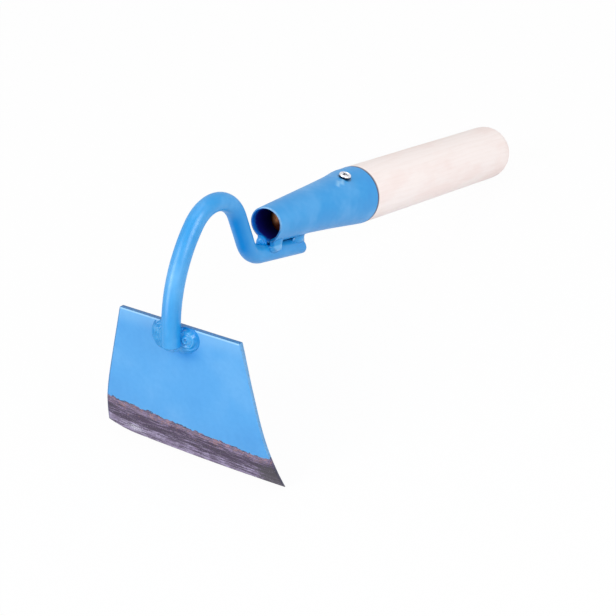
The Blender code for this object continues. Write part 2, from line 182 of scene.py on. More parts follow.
def setFloor():
    half = stageSet["floorSize"] / 2
    mesh = bpy.data.meshes.new("floor")
    mesh.from_pydata([(-half, -half, 0), (half, -half, 0), (half, half, 0), (-half, half, 0)], [], [(0, 1, 2, 3)])
    material = bpy.data.materials.new("whiteSweep")
    material.use_nodes = True
    tree = material.node_tree
    tree.nodes.clear()
    paper = addWire(tree, "BsdfDiffuse", {"Color": stageSet["floorColour"]})
    glow = addWire(tree, "Emission", {"Color": stageSet["white"], "Strength": 1.0})
    both = addWire(tree, "MixShader", {0: seenShare(tree) * stageSet["whiteShare"], 1: paper, 2: glow})
    addNode(tree, "OutputMaterial", {"Surface": both})
    mesh.materials.append(material)
    floor = addObject("floor", mesh)


def setLight():
    world = bpy.data.worlds.new("studio")
    bpy.context.scene.world = world
    world.use_nodes = True
    tree = world.node_tree
    tree.nodes.clear()
    strength = addWire(tree, "MapRange", {"Value": seenShare(tree), "To Min": stageSet["skyLight"]})
    sky = addWire(tree, "Background", {"Color": stageSet["white"], "Strength": strength})
    addNode(tree, "OutputWorld", {"Surface": sky})
    for name, (place, aim, width, height, power) in lamps.items():
        data = bpy.data.lights.new(name, "AREA")
        data.shape = "RECTANGLE"
        data.size, data.size_y, data.energy = width, height, power
        standAt(addObject(name, data), place, aim)


bpy.context.scene.view_settings.view_transform = "Standard"
setCamera()
setFloor()
setLight()
print("camera, floor and lamps set")


# Finishes. Effects that more than one material uses are node groups.

# The crest colour paints highlights; the dark line colour paints shade and dirt; the scale colour, dark scale, also
# paints the shade inside the socket
paint = {"blade": shade(60, 158, 227), "tube": shade(26, 149, 220), "weld": shade(20, 150, 217),
         "milky": shade(122, 190, 241), "deep": shade(0, 127, 209), "thin": shade(8, 88, 144),
         "shadeLine": shade(14, 54, 104), "crest": shade(160, 212, 248), "inner": shade(0, 92, 190),
         "scale": shade(12, 18, 110)}
steel = {"grey": shade(136, 120, 154), "dark": shade(60, 42, 74), "pale": shade(168, 156, 190),
         "brown": shade(100, 80, 92), "rust": shade(168, 126, 124), "ink": shade(24, 28, 62),
         "soot": shade(56, 52, 60), "scrape": shade(206, 206, 220)}
# The end-dark colour also paints shade on the handle's nose, and the gap colour paints the shadow next to the
# socket's rim
wood = {"light": shade(250, 240, 237), "ring": shade(234, 217, 209), "pore": shade(211, 190, 180),
        "rose": shade(246, 230, 226), "endGrain": shade(255, 172, 112), "endDark": shade(84, 34, 22),
        "gapShade": shade(96, 92, 112), "ringWidth": 2.6, "pith": (0.0, -26.0, -19.0)}
# The soil colour darkens the recess as dirt and painted shade; the shadow colour paints shade at the head's foot
zinc = {"bright": shade(238, 238, 242), "dull": shade(176, 176, 186), "soil": shade(52, 34, 30),
        "shadow": shade(14, 20, 44)}
origin = (0.0, 0.0, 0.0)


def startGroup(name, inputs):
    # Each input has its usual value: three numbers make a vector, four a colour, one a value
    group = bpy.data.node_groups.new(name, "ShaderNodeTree")
    for label, value in {"Place": origin, **inputs}.items():
        kind = {1: "Float", 3: "Vector", 4: "Color"}[np.size(value)]
        group.interface.new_socket(label, in_out="INPUT", socket_type="NodeSocket" + kind).default_value = value
    start = group.nodes.new("NodeGroupInput")
    start.location = (-2600, 0)
    given = {label: Wire(group, start.outputs[label]) for label in ("Place", *inputs)}
    return group, given["Place"], given


def endGroup(group, results):
    for label in results:
        kind = "Color" if label == "Color" else "Float"
        group.interface.new_socket(label, in_out="OUTPUT", socket_type="NodeSocket" + kind)
    end = group.nodes.new("NodeGroupOutput")
    end.location = (1600, 0)
    feed(end, results)
    return group


def useGroup(place, group, inputs):
    return addNode(place.tree, "Group", {"Place": place, **inputs}, node_tree=group)


def makeWearGroup():
    # Where a mark says edge, the film is thin, and small irregular chips show the steel
    group, place, given = startGroup("edgeWear", {"Edge": 0.0, "Amount": 0.5})
    chips = noiseOn(place, 1.2, 4.0, 0.65)
    total = noiseOn(place, 4.5) * 0.25 + chips + given["Edge"] * given["Amount"]
    rubbed = total.spread(0.72, 1.00) * given["Edge"].spread(0.0, 0.4)
    return endGroup(group, {"Worn": total.spread(1.15, 1.22), "Rubbed": rubbed})


def makeShadeDirtGroup():
    # Dirt and painted shade in creases, hollows and under the screw's head, broken up by noise
    group, place, given = startGroup("creaseDirt", {"Shade And Dirt": 0.0, "Scale": 1.0, "Least": 0.5})
    kept = noiseOn(place, given["Scale"], 3.0, 0.6).spread(0.3, 0.6, given["Least"], 1.0)
    return endGroup(group, {"Share": given["Shade And Dirt"] * kept})


def makePaintGroup():
    # Satin paint: broad milky patches, a fine mottle, orange peel and a few dust nibs. One input deepens the colour,
    # for paint that ran together and as painted shade; another lightens it towards milky as a painted highlight.
    group, place, given = startGroup("paintFilm", {
        "Paint": paint["tube"], "Milky": paint["milky"], "Deep": paint["deep"], "Patch Scale": 0.05,
        "Patches": 0.5, "Pool And Shade": 0.0, "Painted Sheen": 0.0, "Peel": 0.004, "Dullness": 0.36})
    broad = noiseOn(place, given["Patch Scale"], 3.0, 0.55)
    mottle = noiseOn(place, 0.42, 4.0, 0.6)
    peel = noiseOn(place, 0.95, 2.0, 0.55)
    nibs = cellsOn(place, 0.16).spread(0.02, 0.07, 1.0, 0.0)
    colour = blend(given["Paint"],
                   (broad.spread(0.48, 0.70) * given["Patches"] + given["Painted Sheen"], given["Milky"]),
                   (broad.spread(0.30, 0.50, 1.0, 0.0) * given["Patches"], given["Deep"]),
                   (mottle.spread(0.36, 0.66, 0.0, 0.12) + given["Pool And Shade"], given["Deep"]))
    return endGroup(group, {
        "Color": colour, "Roughness": mottle.spread(0.3, 0.7, -0.04, 0.04) + given["Dullness"],
        "Height": nibs * 0.010 + mottle * 0.012 + peel * given["Peel"]})


def makeSteelGroup():
    # Bare steel drawn out in streaks along one direction, mauve grey with dark and rusty patches.
    # Share runs from 0 at the paint to 1 at the cutting edge.
    group, place, given = startGroup("bareSteel", {
        "Streak": (0.10, 1.0, 1.0), "Share": 0.5, "Rust": 0.5, "Soot": 0.0, "Scrape": 0.0})
    share = given["Share"]
    long = stretched(place, given["Streak"])
    streaks = noiseOn(long, 1.05, 6.0, 0.72, 0.4)
    scratches = noiseOn(long, 3.0, 4.0, 0.7)
    blotches = noiseOn(place, 0.20, 5.0, 0.65)
    spots = noiseOn(place, 0.75, 4.0, 0.65)
    grit = noiseOn(place, 2.2, 3.0, 0.65)
    middle = (share - 0.40).maths("ABSOLUTE").spread(0.04, 0.34, 0.10, -0.02)
    nearPaint = share.spread(0.03, 0.50, 0.11, -0.06)
    pale = blotches.spread(0.46, 0.60) * share.spread(0.30, 0.75, 0.25, 1.0)
    dark = (grit * 0.55 + middle + streaks).spread(0.765, 0.84)
    colour = blend(steel["grey"],
                   (pale, steel["pale"]),
                   ((nearPaint + blotches).spread(0.54, 0.66, 0.0, 0.4), steel["brown"]),
                   (dark, steel["dark"]),
                   ((nearPaint + spots).spread(0.62, 0.68) * given["Rust"], steel["rust"]),
                   ((given["Soot"] * 0.5 + spots).spread(0.62, 0.86, 0.0, 0.85), steel["soot"]),
                   ((given["Scrape"] * 0.22 + grit).spread(0.66, 0.74, 0.0, 0.8), steel["scrape"]))
    lightness = (scratches + grit).spread(0.78, 1.22, 0.48, 1.42)
    return endGroup(group, {
        "Color": addVector(colour, "SCALE", {3: lightness}),
        "Roughness": scratches.spread(0.3, 0.7, 0.36, 0.60),
        "Height": grit * 0.02 + scratches * 0.035 + streaks * 0.06})


wearGroup = makeWearGroup()
shadeDirtGroup = makeShadeDirtGroup()
paintGroup = makePaintGroup()
steelGroup = makeSteelGroup()


def startMaterial(name):
    material = bpy.data.materials.new(name)
    material.use_nodes = True
    tree = material.node_tree
    shader = tree.nodes["Principled BSDF"]
    shader.location = (1600, 0)
    tree.nodes["Material Output"].location = (1900, 0)
    millimetres = addVector(readMark(tree, "place", "Vector"), "SCALE", {3: 1000.0})
    return material, tree, shader, millimetres


def glossLevel(level, matt):
    # The reflection fades towards the silhouette and where matt nears 1
    facing = addNode(matt.tree, "LayerWeight", {"Blend": 0.5})["Facing"]
    return facing.spread(0.35, 0.95, level, 0.05) * (matt * -0.9 + 1.0)


def bumped(height):
    return addWire(height.tree, "Bump", {"Height": height, "Strength": 1.0, "Distance": 0.001})


def makePaint(name, wearAmount, level, film):
    material, tree, shader, place = startMaterial(name)
    pooled = readMark(tree, "pooled")
    film = useGroup(place, paintGroup, {"Pool And Shade": pooled, "Painted Sheen": readMark(tree, "chalky"), **film})
    wear = useGroup(place, wearGroup, {"Edge": readMark(tree, "edge"), "Amount": wearAmount})
    bare = useGroup(place, steelGroup, {"Streak": (0.5, 1.0, 1.0), "Rust": 0.4})
    shadeDirt = useGroup(place, shadeDirtGroup, {"Shade And Dirt": readMark(tree, "crease"), "Scale": 1.1, "Least": 0.55})
    # A pale layer paints highlights on the lip and ridges; a dark layer paints shade and dirt in creases
    colour = blend(film["Color"], (wear["Rubbed"] * 0.6, paint["thin"]), (wear["Worn"], bare["Color"]),
                   (readMark(tree, "crest") * 0.7, paint["crest"]), (shadeDirt["Share"], paint["shadeLine"]))
    feed(shader, {
        "Base Color": colour, "Roughness": wear["Rubbed"] * 0.12 + film["Roughness"],
        "Specular IOR Level": glossLevel(level, pooled), "Normal": bumped(wear["Worn"] * -0.04 + film["Height"])})
    return material


def paintBorder(tree, place):
    # The paint's ragged lower border: millimetres below it, read from a mark and broken up by noise
    ragged = noiseOn(stretched(place, (0.6, 1.0, 1.0)), 0.85, 5.0, 0.75)
    below = noiseOn(place, 0.16) * 2.0 + (ragged * 4.0 + readMark(tree, "belowLine")) - 3.0
    patches = noiseOn(place, 0.10, 3.0, 0.6).spread(0.46, 0.56)
    lip = (below - 0.18).maths("ABSOLUTE").spread(0.08, 0.42, 1.0, 0.0)
    return below.spread(-0.10, 0.10), lip * patches


def makeBladeFinish():
    material, tree, shader, place = startMaterial("bladeFinish")
    pooled, share = readMark(tree, "pooled"), readMark(tree, "stripShare")
    film = useGroup(place, paintGroup, {"Paint": paint["blade"], "Patch Scale": 0.030, "Patches": 0.25,
                                        "Pool And Shade": pooled, "Peel": 0.003})
    bare = useGroup(place, steelGroup, {"Streak": (0.09, 1.0, 1.0), "Share": share, "Rust": 0.58,
                                        "Soot": readMark(tree, "soot"), "Scrape": readMark(tree, "scrape")})
    wear = useGroup(place, wearGroup, {"Edge": readMark(tree, "edge"), "Amount": 0.34})
    shadeDirt = useGroup(place, shadeDirtGroup, {"Shade And Dirt": readMark(tree, "crease"), "Scale": 0.9, "Least": 0.5})
    bareShare, lip = paintBorder(tree, place)
    edgeShare = share.spread(0.93, 0.99, 0.0, 0.6)  # the cutting edge itself is darker
    # A pale layer paints a highlight line along the top; a dark layer paints shade along the corners
    colour = blend(film["Color"], (wear["Rubbed"] * 0.85, paint["thin"]),
                   (readMark(tree, "crest") * 0.75, paint["crest"]),
                   (bareShare.maths("MAXIMUM", wear["Worn"]), bare["Color"]), (lip, steel["ink"]),
                   (shadeDirt["Share"], paint["shadeLine"]), (edgeShare, steel["soot"]))
    height = bareShare * -0.06 + mixed(bareShare, film["Height"], bare["Height"])
    feed(shader, {
        "Base Color": colour, "Roughness": mixed(bareShare, film["Roughness"], bare["Roughness"]),
        "Metallic": bareShare * 0.35, "Specular IOR Level": glossLevel(0.8, pooled), "Normal": bumped(height)})
    return material


def makeInside():
    # The socket's inner wall: dark scale, its near-black navy also painted shade, with paint that reached a few
    # millimetres in from the mouth
    material, tree, shader, place = startMaterial("socketInside")
    film = useGroup(place, paintGroup, {"Paint": paint["inner"], "Milky": paint["inner"], "Deep": paint["thin"],
                                        "Patch Scale": 0.3, "Peel": 0.010})
    # Deeper in from the mouth the colour turns to the dark scale, which stands in for the shade inside the socket
    share = (noiseOn(place, 0.5, 4.0, 0.65) * 3.0 + readMark(tree, "inside")).spread(2.3, 4.2)
    crust = noiseOn(place, 1.2, 4.0, 0.7)
    scale = blend(paint["scale"], (crust.spread(0.60, 0.80, 0.0, 0.12), steel["brown"]))
    feed(shader, {
        "Base Color": blend(film["Color"], (share, scale)), "Specular IOR Level": 0.1,
        "Roughness": crust.spread(0.3, 0.7, 0.75, 0.95), "Normal": bumped(crust * 0.08)})
    return material


def makeWood():
    material, tree, shader, place = startMaterial("handleWood")
    # Growth rings run round a pith that lies outside the turned handle
    slow = noiseOn(stretched(place, (0.012, 0.05, 0.05)), 1.0)
    flat = stretched(addVector(place, "SUBTRACT", {1: wood["pith"]}), (0.0, 1.0, 1.0))
    radius = slow * 9.0 + addVector(flat, "LENGTH", {})
    ring = (radius * (1.0 / wood["ringWidth"])).maths("FRACT").maths("POWER", 2.2)
    fibre = noiseOn(stretched(place, (0.035, 1.0, 1.0)), 1.6, 5.0, 0.65)
    pore = noiseOn(stretched(place, (0.16, 1.0, 1.0)), 3.4).spread(0.66, 0.80, 0.0, 0.20)
    patch = noiseOn(stretched(place, (0.35, 1.0, 1.0)), 0.09, 3.0)
    # The nose inside the socket is raw end grain, brown and soiled, and a mark paints shade over its rim, top and
    # bottom
    burnt = noiseOn(stretched(place, (1.0, 1.0, 0.35)), 0.8, 4.0, 0.7).spread(0.52, 0.68)
    nose = blend(wood["endGrain"], (burnt, wood["endDark"]), (readMark(tree, "burnt"), wood["endDark"]))
    noseShare = readMark(tree, "nose")
    colour = blend(wood["light"], (patch.spread(0.42, 0.68, 0.0, 0.8), wood["rose"]), (ring * 0.14, wood["ring"]),
                   (fibre.spread(0.46, 0.72, 0.0, 0.16), wood["ring"]), (pore, wood["pore"]),
                   (noseShare, nose), (readMark(tree, "crease"), wood["gapShade"]))
    feed(shader, {
        "Base Color": colour, "Roughness": fibre.spread(0.3, 0.7, 0.52, 0.68),
        "Specular IOR Level": noseShare.spread(0.0, 1.0, 0.3, 0.0), "Normal": bumped(pore * -0.03 + fibre * 0.035)})
    return material


def makeZinc():
    material, tree, shader, place = startMaterial("zincPlate")
    haze = noiseOn(place, 1.4, 4.0, 0.6)
    colour = blend(zinc["bright"], (cellsOn(place, 2.2).spread(0.1, 0.9, 0.0, 0.4), zinc["dull"]),
                   (readMark(tree, "soil").spread(0.3, 1.0, 0.0, 0.9), zinc["soil"]),
                   (readMark(tree, "crease"), zinc["shadow"]))
    feed(shader, {
        "Base Color": colour, "Roughness": haze.spread(0.3, 0.7, 0.14, 0.28), "Metallic": 1.0,
        "Normal": bumped(haze * 0.01)})
    return material


bladeFinish = makeBladeFinish()
tubePaint = makePaint("tubePaint", 0.34, 0.66, {
    "Paint": paint["tube"], "Patch Scale": 0.055, "Patches": 0.24, "Peel": 0.003, "Dullness": 0.33})
weldPaint = makePaint("weldPaint", 0.0, 0.70, {
    "Paint": paint["weld"], "Patch Scale": 0.20, "Patches": 0.22, "Peel": 0.006, "Dullness": 0.22})
insideScaleAndShade = makeInside()
handleWood = makeWood()
zincPlate = makeZinc()
print("finishes made")


# Helpers for the shapes


def addPiece(name, node, points, faces, materials, marks, sharpAngle=40.0, faceKinds=None):
    # Points are in the tool's own frame; marks are values per point that the finishes read
    mesh = bpy.data.meshes.new(name)
    mesh.from_pydata([toolMatrix @ Vector(p) for p in points], [], faces)
    for mark, values in {"place": points, **marks}.items():
        flat = np.array(values, dtype=np.float32)
        kind, field = ("FLOAT_VECTOR", "vector") if flat.ndim == 2 else ("FLOAT", "value")
        mesh.attributes.new(mark, kind, "POINT").data.foreach_set(field, flat.ravel())
    if faceKinds:
        mesh.polygons.foreach_set("material_index", faceKinds)
    bm = bmesh.new()
    bm.from_mesh(mesh)
    bmesh.ops.recalc_face_normals(bm, faces=bm.faces)
    bm.to_mesh(mesh)
    bm.free()
    mesh.shade_smooth()
    mesh.set_sharp_from_angle(angle=math.radians(sharpAngle))
    for material in materials:
        mesh.materials.append(material)
    piece = addObject(name, mesh)
    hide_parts(node)
    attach(piece, "root")
    print(f"{name}: {len(faces)} faces")


def note(marks, **values):
    # Writes down one point's marks
    for mark, value in values.items():
        marks[mark].append(value)


def loft(rings, closedRound=True):
    # Quads between rings of equal length, given as lists of point numbers
    faces = []
    for near, far in zip(rings, rings[1:]):
        for i in range(len(near) if closedRound else len(near) - 1):
            j = (i + 1) % len(near)
            faces.append((near[i], near[j], far[j], far[i]))
    return faces


def fan(ring, hub):
    return [(ring[k - 1], ring[k], hub) for k in range(len(ring))]


def roundTurns(sides):
    return [2 * math.pi * k / sides for k in range(sides)]


def wobble(x, y, z, seed=0.0):
    return noise.noise(Vector((x + seed, y - seed, z + 0.5 * seed)))


def ramp(value, low, high):
    share = min(max((value - low) / (high - low), 0.0), 1.0)
    return share * share * (3 - 2 * share)


# Neck: one round rod bent in the middle plane

socket = {"length": 0.075, "mouthWidth": 0.0175, "mouthHeight": 0.0157, "rearWidth": 0.0293, "sheet": 0.0015,
          "lipSheet": 0.0010, "lipReach": 0.0035, "rounding": 0.0003, "flare": 0.0015, "flareReach": 0.029,
          "flareTurn": 0.42, "seamWidth": 0.0016, "seamTurn": math.radians(20.0), "wave": 0.00006,
          "waveScale": 60, "shrink": 0.00008, "screwShade": 0.0037, "litTurn": math.radians(215),
          "stations": 120, "columns": 180}
rod = {"radius": 0.0043, "tailReach": 0.028, "tailLead": 0.0039, "mouthGap": 0.0020, "tailGap": 0.0015,
       "riseAngle": math.radians(62.0), "riseBend": 0.0139, "riseRun": 0.0160, "crestBend": 0.0185,
       "fallAngle": math.radians(53.2), "sweepBend": 0.0650, "lean": math.radians(7.7), "bladeRun": 0.0050,
       "step": 0.0010, "sides": 48, "chamfer": 0.0005, "skew": 0.0019, "skewReach": 0.006, "chalkyDrop": 0.030,
       "chalkyReach": 0.013, "chalky": 0.28, "pooledAll": 0.20, "rough": 0.006, "roughScale": 150}


def coneRadii(share):
    # Outer half width and half height of the cone, share 0 at its mouth and 1 at its rear
    rear, width, height = socket["rearWidth"] / 2, socket["mouthWidth"] / 2, socket["mouthHeight"] / 2
    return width + (rear - width) * share, height + (rear - height) * share


def socketRadii(x):
    return coneRadii(min(max(x / socket["length"], 0.0), 1.0))


def rodHeight(x, gap):
    return -socketRadii(x)[1] - gap - rod["radius"]


def heading(angle):
    return Vector((math.cos(angle), 0.0, math.sin(angle)))


def addArc(path, start, end, radius):
    # Bends the path from one heading to another
    side = math.copysign(1.0, end - start)
    centre = path[-1] + side * radius * heading(start + 0.5 * math.pi)
    steps = max(4, math.ceil(abs(end - start) * radius / rod["step"]))
    for i in range(1, steps + 1):
        angle = start + (end - start) * i / steps
        path.append(centre - side * radius * heading(angle + 0.5 * math.pi))


def addStraight(path, end):
    steps = max(1, round((end - path[-1]).length / rod["step"]))
    path += [path[-1].lerp(end, i / steps) for i in range(1, steps + 1)]


def rodPath():
    tail = Vector((rod["tailReach"], 0.0, rodHeight(rod["tailReach"], rod["tailGap"])))
    underMouth = Vector((0.0, 0.0, rodHeight(0.0, rod["mouthGap"])))
    along = (underMouth - tail).normalized()
    path = [tail]
    addStraight(path, underMouth + along * rod["tailLead"])
    rise, fall, end = math.pi - rod["riseAngle"], math.pi + rod["fallAngle"], 1.5 * math.pi + rod["lean"]
    addArc(path, math.atan2(along.z, along.x), rise, rod["riseBend"])
    addStraight(path, path[-1] + heading(rise) * rod["riseRun"])
    addArc(path, rise, fall, rod["crestBend"])
    addArc(path, fall, end, rod["sweepBend"])
    addStraight(path, path[-1] + heading(end) * rod["bladeRun"])
    return path


def makeRod():
    path = rodPath()
    radius, chamfer, last = rod["radius"], rod["chamfer"], len(path) - 1
    points, rings, marks = [], [], defaultdict(list)
    crest = max(path, key=lambda p: p.z)
    across = Vector((0.0, 1.0, 0.0))
    # Each end is a saw cut with its corner knocked off: place in chamfers, size, edge mark
    trim = [(0.0, 0.80, 0.3), (0.0, 1 - chamfer / radius, 1.0), (0.4, 1 - 0.3 * chamfer / radius, 1.0),
            (1.0, 1.0, 0.5)]
    cuts = {0: (trim, chamfer), last: (trim[::-1], -chamfer)}
    stations = []
    for i, centre in enumerate(path):
        ahead = (path[min(i + 1, last)] - path[max(i - 1, 0)]).normalized()
        steps, reach = cuts.get(i, ([(0.0, 1.0, 0.0)], 0.0))
        stations += [(centre + ahead * reach * shift, ahead, size, edge) for shift, size, edge in steps]
    for centre, ahead, size, edge in stations:
        out = ahead.cross(across)
        # The rise behind the loop is deeper in colour, as paint that ran down and as painted shade on its
        # forward-facing side; a painted highlight lightens the fall below the crest, most on its lit side
        rising = ramp(ahead.z, 0.35, 0.85) if ahead.x < 0.3 else 0.0
        falling = crest.z - centre.z if centre.x < crest.x else 0.0
        chalky = math.exp(-((falling - rod["chalkyDrop"]) / rod["chalkyReach"]) ** 2) * ramp(falling, 0.004, 0.016)
        skewed = rod["skew"] * size * max(1 - (centre - path[0]).length / rod["skewReach"], 0.0)
        rings.append([])
        for angle in roundTurns(rod["sides"]):
            facing = out * math.cos(angle) + across * math.sin(angle)
            spot = (centre + facing * radius) * rod["roughScale"]
            uneven = 1 - rod["rough"] * (1 + wobble(spot.x, spot.y, spot.z, 4.0))
            skew = -ahead * skewed * (0.3 - facing.z * 0.9 - facing.y * 0.4)
            front = ramp(-facing.x * 0.85 - facing.y * 0.35 + facing.z * 0.3, 0.40, 0.95)
            lit = ramp(-facing.y - 0.4 * facing.x, -0.4, 0.8)
            rings[-1].append(len(points))
            points.append(centre + facing * radius * size * uneven + skew)
            note(marks, edge=edge, pooled=rising * (rod["pooledAll"] + (1 - rod["pooledAll"]) * front),
                 chalky=rod["chalky"] * chalky * (0.5 + 0.5 * lit))
    faces = loft(rings)
    for ring, centre in ((rings[0], path[0]), (rings[-1], path[last])):
        faces += fan(ring, len(points))
        points.append(centre)
        note(marks, edge=0.3, pooled=0.0, chalky=0.0)
    addPiece("neckRod", "neck_rod", points, faces, [tubePaint], marks)


makeRod()


# Blade: a flat-topped plate, its lower part curved back and ground thin

blade = {"topWidth": 0.067, "edgeWidth": 0.101, "height": 0.0697, "bow": 0.0012, "wear": 0.0030,
         "wearStart": 0.70, "flat": 0.034, "bend": 0.102, "thickness": 0.002, "strip": 0.0183,
         "footThickness": 0.0012, "bevel": 0.0013, "edgeThickness": 0.0005, "lap": 0.0084, "gap": 0.0003,
         "lineFall": 0.0022, "burr": 0.0005, "burrReach": 0.020, "nick": 0.0009, "nickReach": 0.0025, "wave": 0.00010,
         "fineWave": 0.00004, "rounding": 0.00035, "columns": 140, "rows": 88, "lineDrop": 0.0514,
         "lineSlope": -0.062}


def bladePlace():
    # Origin on the back face at the middle of the top edge, z up the plate, x out of its back
    path, lean = rodPath(), rod["lean"]
    down = Vector((math.sin(lean), 0.0, -math.cos(lean)))
    back = heading(lean)
    nearest = min(path, key=lambda p: abs((path[-1] - p).dot(down) - blade["lap"]))
    bulge = max((nearest - path[-1]).dot(back), 0.0)
    standOff = rod["radius"] + blade["gap"] + bulge + blade["thickness"]
    return Matrix.Translation(path[-1] - down * blade["lap"] + back * standOff) @ Matrix.Rotation(-lean, 4, "Y")


bladeMatrix = bladePlace()


def platePoint(across, drop, depth):
    # A point of the plate: drop along it below the top edge, depth in front of its back face
    bend = max(drop - blade["flat"], 0.0) / blade["bend"]
    radius = blade["bend"] + depth
    return bladeMatrix @ Vector((blade["bend"] - radius * math.cos(bend), across,
                                 -min(drop, blade["flat"]) - radius * math.sin(bend)))


def plateHeight(share):
    # Height of the plate from -1 at its right side to 1 at its left
    wear = max(share - blade["wearStart"], 0.0) / (1 - blade["wearStart"])
    return blade["height"] + blade["bow"] * (1 - share ** 2) - blade["wear"] * wear ** 2


def plateThickness(fromEdge):
    stops = (0.0, blade["bevel"], blade["strip"])
    return float(np.interp(fromEdge, stops, (blade["edgeThickness"], blade["footThickness"], blade["thickness"])))


def bell(value, middle, reach):
    return ((value - middle) / reach) ** 2


def plateMarks(marks, across, drop, depth, height, kind, value, side, share, turn):
    # The marks of one point of the plate
    line = blade["lineDrop"] + blade["lineSlope"] * across
    line -= blade["lineFall"] * max((-across - 0.040) / 0.0085, 0.0) ** 2  # it climbs at the right side
    onTop = kind == "cap" or kind == "top" and value < 0.8
    # Painted shade: dark lines along the top's back corner and the side corners
    crease = 0.75 if onTop and side < 0 and kind == "top" else 0.0
    if share == 1 and side == 1:
        crease = 0.6 if turn < 0.8 else 0.3
    elif share == -1 and turn > 0.8:
        crease = 0.30 if side < 0 else 0.15
    # Painted highlight: a pale line along the front corner of the top edge, fading down the front face, and fainter
    # down the right side
    pale = 1.0 if kind == "top" or drop < 0.0008 else 0.30 * (1 - ramp(drop, 0.001, 0.009))
    if side != 1 or turn or onTop:
        pale = 0.35 if share == -1 and turn > 0.8 and not onTop else 0.0
    # Painted shadow: deeper colour on the front face below the welds
    pool = 0.75 * math.exp(-bell(across, -0.0030, 0.0075) - bell(drop, 0.0120, 0.0038))
    scrape = math.exp(-bell(across, 0.033, 0.0060) - bell(height - drop, 0.0055, 0.0030))
    note(marks, place=(across, drop, depth), edge=1.0 if onTop else 0.45 if turn > 0.8 else 0.0, crease=crease,
         crest=pale, belowLine=(drop - line) * 1000, stripShare=(drop - line) / (height - line),
         soot=ramp(-across, 0.030, 0.047) * ramp(drop, 0.054, 0.062), scrape=scrape,
         pooled=pool if side > 0 else 0.0)


def makeBlade():
    rounding, columns = blade["rounding"], blade["columns"]
    arcs = [math.radians(a) for a in (0, 30, 60, 90)]
    rows = [("cap", 0.35), ("cap", 0.8)] + [("top", a) for a in arcs]
    rows += [("body", share) for share in (0.0045, 0.0090, 0.0135)]
    rows += [("body", (k / blade["rows"]) ** 1.03) for k in range(2, blade["rows"] + 1)]
    rows += [("bevel", m / 3) for m in (1, 2, 3)]
    # The ring runs along the front from left to right, round the right side, and back behind:
    # front 1 or back -1, place across, turn round the corner
    ring = [(1, 1, a) for a in reversed(arcs[1:])]
    ring += [(1, 1 - 2 * k / columns, 0.0) for k in range(columns + 1)]
    ring += [(1, -1, a) for a in arcs[1:]]
    around = ring + [(0.4, -1, arcs[-1]), (-0.4, -1, arcs[-1])]
    around += [(-1, share, turn) for _, share, turn in ring[::-1]]
    around += [(-0.4, 1, arcs[-1]), (0.4, 1, arcs[-1])]
    points, marks = [], defaultdict(list)

    def put(kind, value, side, share, turn):
        height = plateHeight(share)
        inset, drop = 0.0, 0.0
        if kind == "cap":
            inset = rounding
        elif kind == "top":
            inset, drop = rounding * (1 - math.sin(value)), rounding * (1 - math.cos(value))
        elif kind == "body":
            drop = rounding + (height - blade["bevel"] - rounding) * value
        else:
            drop = height - blade["bevel"] * (1 - value)
        thickness = plateThickness(height - drop)
        r = max(min(rounding - inset, thickness / 2 - 0.00004), 0.00003)
        halfWidth = (blade["topWidth"] + (blade["edgeWidth"] - blade["topWidth"]) * drop / height) / 2 - inset
        across = share * (halfWidth - r) + math.copysign(r * math.sin(turn), share) * (turn > 0)
        half = thickness / 2 - inset
        reach = half - r * (1 - math.cos(turn)) if abs(side) == 1 else (half - r) * abs(side)
        if kind == "cap":
            reach *= value
        depth = thickness / 2 + math.copysign(reach, side)
        if side < 0:
            depth -= blade["burr"] * (1 - ramp(drop, 0.0, blade["burrReach"]))
        nick = blade["nick"] * max(wobble(across * 330, 0.0, 7.0) - 0.30, 0.0)
        low = max(1 - (height - drop) / blade["nickReach"], 0.0)
        wave = blade["wave"] * wobble(across * 38, drop * 38, 3.0)
        wave += blade["fineWave"] * wobble(across * 110, drop * 110, 5.0)
        points.append(platePoint(across, drop - nick * low, depth + wave))
        plateMarks(marks, across, drop, depth, height, kind, value, side, share, turn)
        return len(points) - 1

    rings = [[put(kind, value, *spot) for spot in around] for kind, value in rows]
    faces = loft(rings)
    for ring in (rings[0], rings[-1]):
        # Front points pair with the back points behind them across the closed end
        count = len(arcs) * 2 - 2 + columns + 1
        front = [ring[-1]] + ring[:count] + [ring[count]]
        back = [ring[-2]] + ring[count + 2:-2][::-1] + [ring[count + 1]]
        faces += [(front[i], front[i + 1], back[i + 1], back[i]) for i in range(len(front) - 1)]
    addPiece("bladePlate", "blade", points, faces, [bladeFinish], marks)


makeBlade()


# Socket: sheet rolled into a cone, oval at its mouth, its two edges not quite meeting underneath

dents = [  # place behind the mouth, turn from the top to the right in degrees, reach, lift
    (0.0655, -26.0, 0.0055, 0.00055), (0.0600, 33.0, 0.0030, -0.00030), (0.0640, 24.0, 0.0035, -0.00025),
    (0.0300, 80.0, 0.0100, -0.00018), (0.0480, 120.0, 0.0140, -0.00025)]
# Two short ridges ahead of the screw, three spots each
ridges = [(start - 0.0014 * k, 22.0 + 4.0 * k) for start in (0.0558, 0.0522) for k in range(3)]
# Along the ridges the paint is lightened as a painted highlight
ridge = {"reach": 0.0009, "lift": 0.0004, "rubbed": 0.8}
screw = {"fromRear": 0.0155, "turn": math.radians(15.5), "recessTurn": math.radians(-8.0), "headRadius": 0.0030,
         "headHeight": 0.0016, "rimHeight": 0.0008, "seat": 0.0001, "shankRadius": 0.00175, "coreRadius": 0.0013,
         "length": 0.016, "tip": 0.003, "pitch": 0.0016, "sides": 64, "recessWidth": 0.0046,
         "recessSlot": 0.0015, "recessDepth": 0.0013}


def nearSpot(x, angle, spot, turn, reach):
    # 1 at a spot of the cone's wall, fading over reach; turn runs from the top to the right in degrees
    off = (math.degrees(math.pi - angle) + turn + 180) % 360 - 180
    return math.exp(-((x - spot) ** 2 + (math.radians(off) * socketRadii(x)[0]) ** 2) / reach ** 2)


